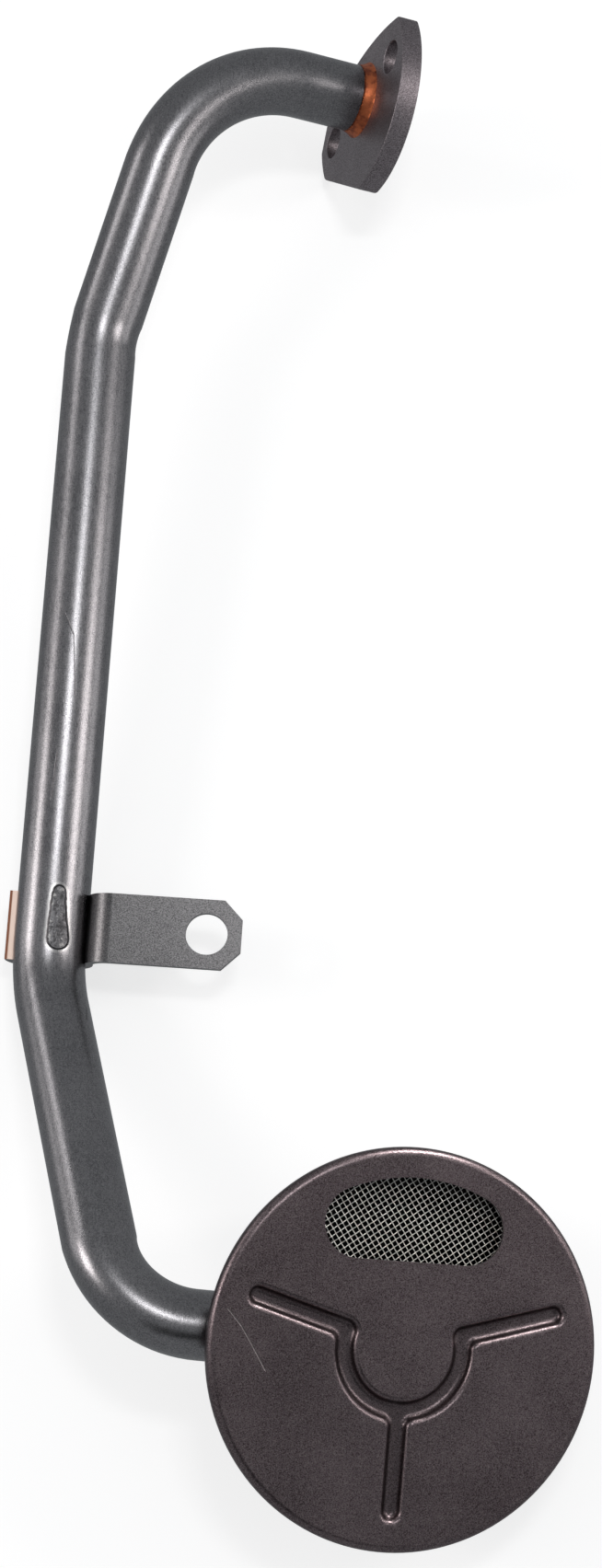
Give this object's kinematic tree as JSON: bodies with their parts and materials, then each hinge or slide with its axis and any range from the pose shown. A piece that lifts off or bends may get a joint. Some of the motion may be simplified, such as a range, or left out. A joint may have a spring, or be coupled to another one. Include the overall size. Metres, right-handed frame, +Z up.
{
  "type": "oil pickup tube",
  "caption": "Bent steel oil pickup tube with a bolted flange, a strap bracket and a round strainer with a screened inlet window.",
  "frame": {"origin": "centre of the oil port on the flange's sealing face, midway between the two bolt holes", "axes": "+Z up from the bench on which the part lies, +Y along the tube's long run towards the flange, +X to the side of the strainer and bracket"},
  "size_m": [0.1544, 0.4251, 0.0586],
  "materials": {
    "tube_steel": "satin",
    "flange_steel": "satin",
    "braze": "satin",
    "strap_steel": "satin",
    "sheet_steel": "satin",
    "screen_wire": "bright"
  },
  "bodies": {
    "root": {"pickup_tube": "tube_steel", "mounting_flange": "flange_steel", "flange_braze": "braze", "support_bracket": "strap_steel", "strainer_housing": "sheet_steel", "housing_braze": "braze", "strainer_screen": "screen_wire", "strainer_cover": "sheet_steel"}
  },
  "joints": []
}
